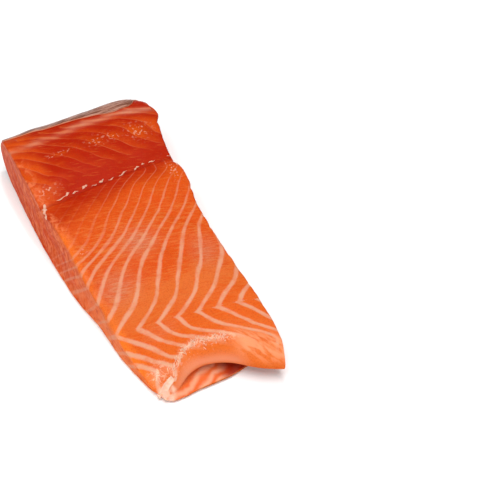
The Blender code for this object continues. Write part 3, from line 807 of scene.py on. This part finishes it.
def make_fibres():
    """Short torn fibres along the rim of the belly end."""
    random.seed(FIBRE_SEED)
    shell = Shell()
    for number in range(FIBRE_TUFTS * FIBRES_PER_TUFT):
        if number % FIBRES_PER_TUFT == 0:
            tuft_x = FIBRE_START + FIBRE_SPAN * number / (FIBRE_TUFTS * FIBRES_PER_TUFT)
            tuft_share = random.gauss(1.0, TUFT_SCATTER)
        x = random.gauss(tuft_x, FIBRE_SCATTER_X)
        share = random.gauss(tuft_share, FIBRE_SCATTER)
        heading = random.uniform(*FIBRE_HEADING)
        length = random.uniform(*FIBRE_LENGTH)
        radius = random.uniform(*FIBRE_RADIUS)
        bend = random.uniform(*FIBRE_BEND)
        steps = np.linspace(0, 1, FIBRE_RINGS)
        angle = heading + bend * steps
        places_x = x + length * np.cumsum(np.cos(angle)) / FIBRE_RINGS
        shares = share + length / RIM_REACH * np.cumsum(np.sin(angle)) / FIBRE_RINGS
        middles = near_rim(places_x, shares)
        middles[:, 2] += 0.6 * radius
        tube_rings(shell, middles, radius * np.sin(math.pi * (0.02 + 0.96 * steps)) ** 0.5, FIBRE_SIDES)
    return fat_piece(shell, "rim_fibres", "torn_fat", FAT_FIBRE, 0.0001)


def make_membrane():
    """Thin white flap of membrane on the thin corner."""
    line_x, line_y = np.array(MEMBRANE_LINE).T
    share = np.linspace(0, 1, len(line_x))
    fine = np.linspace(0, 1, MEMBRANE_POINTS[0])[:, None]
    side = np.linspace(-1, 1, MEMBRANE_POINTS[1])[None, :]
    half = curve(tuple(zip(share, MEMBRANE_WIDTH)), fine)
    half = half * (1 + 0.25 * noise(fine * 0.02, side * 0.006, 0.004, 91))
    x = curve(tuple(zip(share, line_x)), fine) + MEMBRANE_LEAN * half * side
    y = curve(tuple(zip(share, line_y)), fine) - half * side
    rim = curve(RIM_Y, x)
    ground = np.where(y > rim, top_height(x, np.maximum(y, rim)), top_height(x, rim) + 0.6 * (y - rim))
    lift = MEMBRANE_LIFT * (1.2 + noise(x, y, 0.0028, 92)) * (1 - 0.7 * side**2)
    under = stack(x, y, ground - MEMBRANE_SINK)
    upper = stack(x, y, ground + lift)
    shell = Shell()
    shell.sheet(upper, flip=True)
    shell.sheet(under, flip=False)
    for row in (0, -1):
        shell.band(under[row], upper[row], flip=row == 0)
        shell.band(under[:, row], upper[:, row], flip=row != 0)
    return fat_piece(shell, "membrane", "white_membrane", FAT_WHITE, 0.0003)


class Nodes:
    """Short calls to add and link a material's nodes."""

    def __init__(self, name):
        self.material = bpy.data.materials.new(name)
        self.material.use_nodes = True
        self.tree = self.material.node_tree

    def put(self, socket, value):
        """Set a socket to a number or colour, or link it to an output or to a named number of the mesh."""
        if isinstance(value, str):
            value = self.add("ShaderNodeAttribute", {"attribute_name": value}).outputs["Fac"]
        if isinstance(value, bpy.types.NodeSocket):
            self.tree.links.new(value, socket)
        elif socket.type == "RGBA":
            socket.default_value = (*value, 1.0)
        else:
            socket.default_value = value

    def add(self, kind, settings=None, **inputs):
        """A node with its settings; inputs are given by name, with _ for a space."""
        node = self.tree.nodes.new(kind)
        for key, value in (settings or {}).items():
            setattr(node, key, value)
        return self.fill(node, inputs)

    def fill(self, node, inputs):
        """A node with its inputs set."""
        for key, value in inputs.items():
            self.put(node.inputs[key.replace("_", " ")], value)
        return node

    def made(self, **inputs):
        """The material, once its shader's inputs are set."""
        self.fill(self.tree.nodes["Principled BSDF"], inputs)
        return self.material

    def math(self, operation, a, b=0.0, c=0.0):
        """Arithmetic on one to three values."""
        node = self.add("ShaderNodeMath", {"operation": operation})
        for socket, value in zip(node.inputs, (a, b, c)):
            self.put(socket, value)
        return node.outputs[0]

    def times(self, a, b):
        """Product of two values."""
        return self.math("MULTIPLY", a, b)

    def ramp(self, value, low, high, start=0.0, end=1.0):
        """Soft step of a value from start at low to end at high."""
        node = self.add("ShaderNodeMapRange", {"interpolation_type": "SMOOTHSTEP"})
        for socket, setting in zip(node.inputs, (value, low, high, start, end)):
            self.put(socket, setting)
        return node.outputs[0]

    def layers(self, colour, above):
        """A colour with others mixed in one after the other, each by its share."""
        for share, other in above:
            node = self.add("ShaderNodeMix", {"data_type": "RGBA"}, Factor=share)
            self.put(node.inputs[6], colour)
            self.put(node.inputs[7], other)
            colour = node.outputs[2]
        return colour

    def places(self, stretch, turn=(0, 0, 0)):
        """Object coordinates, turned and then stretched."""
        where = self.add("ShaderNodeTexCoord").outputs["Object"]
        turned = self.add("ShaderNodeMapping", Vector=where, Rotation=turn).outputs[0]
        return self.add("ShaderNodeMapping", Vector=turned, Scale=stretch).outputs[0]

    def noise(self, vector, scale, detail, roughness=0.5, distortion=0.0):
        """Noise value over a vector."""
        return self.add("ShaderNodeTexNoise", Vector=vector, Scale=scale, Detail=detail, Roughness=roughness,
                        Distortion=distortion).outputs["Fac"]

    def bump(self, height, strength, distance):
        """Bumped normal for the shader."""
        return self.add("ShaderNodeBump", Height=height, Strength=strength, Distance=distance).outputs[0]


def flesh_material():
    """Wet raw flesh: flakes with pale fat between them, darker near the back."""
    nodes = Nodes("raw_flesh")
    even = nodes.places((1, 1, 1))
    fibres = nodes.noise(nodes.places((230, 1700, 500), turn=(0, 0, FIBRE_TURN)), 1.0, 2.0)
    streaks = nodes.noise(nodes.places((700, 1100, 110), turn=(CUT_STREAK_TILT, 0, 0)), 1.0, 3.0)
    drag = nodes.noise(nodes.places((1500, 2400, 160), turn=(CUT_STREAK_TILT, 0, 0)), 1.0, 2.0)
    strands = nodes.noise(nodes.places((130, 620, 300), turn=(0, 0, NOSE_STREAK_TURN)), 1.0, 2.0)
    blotches = nodes.noise(even, 110.0, 4.0)
    grain = nodes.noise(even, 1800.0, 2.0)
    mottle = nodes.noise(even, 380.0, 3.0, distortion=0.8)
    curls = nodes.noise(even, 330.0, 1.0, distortion=1.2)

    # Base tones
    tone = nodes.math("ADD", "tone", nodes.math("MULTIPLY_ADD", blotches, 0.6, -0.30))
    # Painted shade of the back's flakes: lighter just past each fat line, darker towards the next
    flake_shade = nodes.ramp(nodes.math("FRACT", "back_line"), 0.0, 1.0, 0.30, -0.12)
    tone = nodes.math("MULTIPLY_ADD", flake_shade, "back", tone)
    pale = nodes.math("ADD", "pale", nodes.math("MULTIPLY_ADD", fibres, 2.0, -1.0))
    beside = nodes.ramp(nodes.math("FRACT", "line"), 0.40, 1.0, -0.18, 0.45)
    pale = nodes.math("MULTIPLY_ADD", beside, "beside", pale)
    colour = nodes.layers(FLESH_DARK, (
        (nodes.ramp(tone, 0.0, 1.0), FLESH_MID),
        (nodes.times(nodes.ramp(pale, 0.1, 1.0), 0.9), FLESH_PALE),
        (nodes.times("near", 0.7), FLESH_NEAR),
        (nodes.times(nodes.ramp(fibres, 0.44, 0.66, 0.0, 0.75), "beside"), FLESH_PALE),
        (nodes.times("veil", nodes.ramp(fibres, 0.35, 0.60, 0.55, 1.20)), FLESH_VEIL),
        # painted highlight along the left edge and on the upper belly end
        ("painted_highlight", FLESH_HIGHLIGHT),
        (nodes.ramp(grain, 0.45, 0.75, 0.0, 0.35), FLESH_DARK),
        # painted shade in the narrow crease
        ("crease_shade", CREASE_SHADE)))

    # Cut faces
    cut = nodes.layers(CUT_ORANGE, (
        (nodes.ramp(blotches, 0.38, 0.60), CUT_BROWN),
        (nodes.ramp(drag, 0.40, 0.60, 0.55, 0.0), CUT_DARK),
        (nodes.times("low", 0.7), CUT_LOW),
        (nodes.ramp(streaks, 0.47, 0.68, 0.0, 0.65), CUT_PALE),
        (nodes.ramp(mottle, 0.50, 0.62, 0.0, 0.50), CUT_PALE),
        (nodes.ramp(mottle, 0.36, 0.46, 0.50, 0.0), CUT_DARK)))
    edge_fat = nodes.times("edge_fat", nodes.ramp(mottle, 0.42, 0.60, 0.10, 0.70))

    # Fat lines of the belly and the back: distance from a line as a share of its half width
    ragged = nodes.math("MULTIPLY_ADD", nodes.noise(even, 1100.0, 3.0), 0.5, 0.75)
    shares = []
    for name, half in (("line", "line_half"), ("back_line", "back_half")):
        share = nodes.math("DIVIDE", nodes.math("PINGPONG", name, 0.5), half)
        shares.append(nodes.times(share, ragged))
    thin = nodes.ramp(nodes.noise(even, 240.0, 2.0), 0.32, 0.58, 0.62, 1.0)
    line = nodes.times(nodes.ramp(shares[0], 0.40, 1.50, 0.92, 0.0), thin)
    back_line = nodes.ramp(shares[1], 0.20, 2.00, 1.0, 0.0)
    back_fat = nodes.layers(FAT_FAINT, (("band", FAT_PINK),))

    # Belly end, and drops where it is wet, painted as pale glints
    wedge = nodes.ramp(nodes.math("PINGPONG", "wedge_line", 0.5), 0.02, 0.46)
    curls = nodes.ramp(nodes.math("ABSOLUTE", nodes.math("SUBTRACT", curls, 0.5)), 0.010, 0.06, 1.0, 0.25)
    wet_glints = nodes.times("wet_glints", nodes.ramp(nodes.noise(even, 800.0, 1.0), 0.58, 0.66))
    colour = nodes.layers(colour, (
        ("cut", cut),
        (edge_fat, CUT_PALE),
        (nodes.times(line, "line_strength"), FAT_LINE),
        (nodes.times("band", 0.65), FAT_PINK),
        (nodes.times(back_line, "back_strength"), back_fat),
        ("wedge", nodes.layers(WEDGE_PALE, ((wedge, WEDGE_DARK),))),
        # painted shade in the hollow under the nose
        ("hollow_shade", HOLLOW_RED_AND_SHADE),
        ("lip", LIP_PINK),
        (nodes.times("nose", nodes.ramp(strands, 0.33, 0.58, 0.15, 1.0)), NOSE_PALE),
        (nodes.times(curls, "rim_fat"), FAT_FIBRE),
        ("corner", FAT_WHITE),
        # painted glints in the wet spots: brighter orange and pale drops
        (nodes.times("wet_glints", 0.15), FLESH_HIGHLIGHT),
        (nodes.times(wet_glints, 0.50), FAT_FIBRE)))
    relief = nodes.math("MULTIPLY_ADD", fibres, 0.6, nodes.times(grain, 0.5))
    return nodes.made(
        Base_Color=colour,
        Roughness=nodes.ramp(nodes.math("MULTIPLY_ADD", blotches, 0.6, "wet_glints"), 0.40, 1.0, 0.50, 0.15),
        Specular_IOR_Level=0.05, Subsurface_Weight=0.2, Subsurface_Radius=(1.0, 0.25, 0.10),
        Subsurface_Scale=0.002, Normal=nodes.bump(nodes.math("ADD", wet_glints, relief), 0.5, 0.00030))


def fat_material(name, pale, depth):
    """Moist white fat, a little uneven in colour; depth is how far light sinks in."""
    nodes = Nodes(name)
    uneven = nodes.noise(nodes.places((1, 1, 1)), 700.0, 3.0)
    return nodes.made(
        Base_Color=nodes.layers(pale, ((nodes.ramp(uneven, 0.35, 0.70, 0.55, 0.0), FAT_LINE),)),
        Roughness=0.35, Specular_IOR_Level=0.3, Subsurface_Weight=0.2, Subsurface_Radius=(1.0, 0.4, 0.2),
        Subsurface_Scale=depth, Normal=nodes.bump(uneven, 0.4, 0.0002))


def make_skin():
    """The skin: a thin flat sheet under the flesh that wraps round the back end."""
    shares_long = eased(SKIN_CELLS_LONG, CROWDING_LONG)
    shares_wide = SKIN_TUCK_SHARE + (1 - 2 * SKIN_TUCK_SHARE) * eased(SKIN_CELLS_WIDE, SKIN_CROWDING)
    x, y = sheet_places(TOE_Y, shares_long, shares_wide, 0.0)
    tuck = SKIN_TUCK * np.clip(1 - shares_long / SKIN_TUCK_LENGTH, 0, 1)[:, None]
    turn = np.linspace(0, 1, SKIN_CELLS_TURN + 1)[:, None]
    top_x = sheet_places(RIM_Y, shares_long, shares_wide, 1.0)[0][-1]
    edge = np.radians(curve(SKIN_EDGE_ANGLE, top_x) + wander(top_x, *SKIN_EDGE_WANDER))
    angle = -0.5 * math.pi + (edge + 0.5 * math.pi) * turn
    thin = np.clip((turn - SKIN_THINS_FROM) / (1 - SKIN_THINS_FROM), 0, 1)
    thick = SKIN_THICK + (SKIN_EDGE_THICK - SKIN_THICK) * thin
    rise = (angle + 0.5 * math.pi) / math.pi
    wrap_x = x[-1] * (1 - rise) + top_x * rise
    gap = SKIN_GAP * (1 - ramp(turn, *SKIN_CLOSES))
    sides = []
    for depth_share in (0.0, 1.0):
        flat = stack(x, y + tuck, SKIN_THICK * depth_share)
        wrap = stack(wrap_x, *back_face(wrap_x, angle, gap + thick * (1 - depth_share)))
        sides.append((flat, wrap))

    (flat_out, wrap_out), (flat_in, wrap_in) = sides
    shell = Shell()
    shell.sheet(flat_out, flip=False, shares=0.0)
    shell.flat(flat_in, flip=True, shares=1.0)
    shell.sheet(wrap_out, flip=False, shares=0.0)
    shell.sheet(wrap_in, flip=True, shares=1.0)
    for out, inner in zip(*sides):
        shell.band(out[:, 0], inner[:, 0], flip=True)
        shell.band(out[:, -1], inner[:, -1], flip=False)
    shell.band(flat_out[0], flat_in[0], flip=False)
    shell.band(wrap_out[-1], wrap_in[-1], flip=True)
    obj, _, shares = shell.build("skin_surface")
    store(obj, "inner", shares)
    x, y, z = mesh_points(obj)
    store(obj, "fatty", ramp(z + 0.0012 * noise(x, y, 0.005, 93), 0.0180, 0.0212))
    obj.data.materials.append(skin_material())
    return obj


def skin_material():
    """Wet fish skin: silver scales over dark grey, with pinkish fat along its upper edge."""
    nodes = Nodes("silver_skin")
    scales = nodes.add("ShaderNodeTexVoronoi", Vector=nodes.places((1.0, 1.5, 1.5)), Scale=800.0).outputs
    # painted glints: pale spots on the scales
    glint = nodes.times(nodes.ramp(scales["Distance"], 0.10, 0.75, 1.0, 0.0),
                        nodes.ramp(scales["Color"], 0.25, 0.85))
    patches = nodes.noise(nodes.places((1, 1, 1)), 90.0, 6.0, 0.70)
    streaks = nodes.noise(nodes.places((90, 700, 700), turn=(0, 0, SKIN_STREAK_TURN)), 1.0, 4.0, 0.7)
    fatty = nodes.layers(SKIN_BROWN, ((nodes.ramp(streaks, 0.43, 0.57), SKIN_PINK),))
    colour = nodes.layers(SKIN_DARK, (
        (nodes.ramp(patches, 0.36, 0.64, 0.10, 0.85), SKIN_SILVER),
        (nodes.times(glint, nodes.ramp(patches, 0.40, 0.70, 0.25, 0.95)), SKIN_GLINT),
        ("fatty", fatty),
        (nodes.ramp("inner", 0.0, 0.22), SKIN_CUT)))
    return nodes.made(
        Base_Color=colour, Roughness=nodes.ramp(patches, 0.3, 0.7, 0.30, 0.55), Specular_IOR_Level=0.20,
        Normal=nodes.bump(scales["Distance"], 0.5, 0.0003))


def make_camera():
    """The photograph's camera."""
    flat = math.cos(VIEW_HEIGHT)
    right = Vector((math.cos(VIEW_TURN), math.sin(VIEW_TURN), 0))
    back = Vector((math.sin(VIEW_TURN) * flat, -math.cos(VIEW_TURN) * flat, math.sin(VIEW_HEIGHT)))
    up = back.cross(right)
    focal_pixels = VIEW_DISTANCE / PIXEL_AT_AIM
    aside = (AIM_PIXEL[0] - IMAGE_PIXELS / 2) / focal_pixels
    above = (IMAGE_PIXELS / 2 - AIM_PIXEL[1]) / focal_pixels
    place = Vector((0, -MIDDLE_Y, AIM_HEIGHT)) - VIEW_DISTANCE * (right * aside + up * above - back)
    data = bpy.data.cameras.new("camera")
    data.sensor_width = SENSOR
    data.lens = focal_pixels * SENSOR / IMAGE_PIXELS
    data.clip_start = NEAREST_SEEN
    camera = add_object("camera", data)
    camera.matrix_world = Matrix.Translation(place) @ Matrix((right, up, back)).transposed().to_4x4()
    bpy.context.scene.camera = camera


def make_studio():
    """Pale floor, even white surroundings and soft lights."""
    mesh = bpy.data.meshes.new("floor")
    corners = [(x * FLOOR_REACH, y * FLOOR_REACH, 0) for x, y in ((-1, -1), (1, -1), (1, 1), (-1, 1))]
    mesh.from_pydata(corners, [], [(0, 1, 2, 3)])
    floor = add_object("floor", mesh)
    grey = (FLOOR_GREY, FLOOR_GREY, FLOOR_GREY)
    mesh.materials.append(Nodes("pale_floor").made(Base_Color=grey, Roughness=0.9, Specular_IOR_Level=0.1))

    world = bpy.data.worlds.new("surroundings")
    world.use_nodes = True
    inputs = world.node_tree.nodes["Background"].inputs
    inputs["Color"].default_value = (1.0, 1.0, 1.0, 1.0)
    inputs["Strength"].default_value = SURROUNDINGS
    bpy.context.scene.world = world
    for name, place, size, power in LIGHTS:
        data = bpy.data.lights.new(name, "AREA")
        data.shape = "SQUARE"
        data.size = size
        data.energy = power
        light = add_object(name, data)
        light.location = place
        light.rotation_euler = (-Vector(place)).to_track_quat("-Z", "Y").to_euler()
    bpy.context.scene.view_settings.view_transform = "Standard"


def main():
    """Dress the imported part."""
    for obj in list(bpy.data.objects):
        bpy.data.objects.remove(obj, do_unlink=True)
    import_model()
    make_camera()
    make_studio()
    flesh = make_flesh()
    skin = make_skin()
    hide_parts("flesh")
    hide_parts("skin")
    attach(skin, "root")
    for piece in (flesh, make_flecks(), make_fibres(), make_membrane()):
        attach(piece, "root")


main()
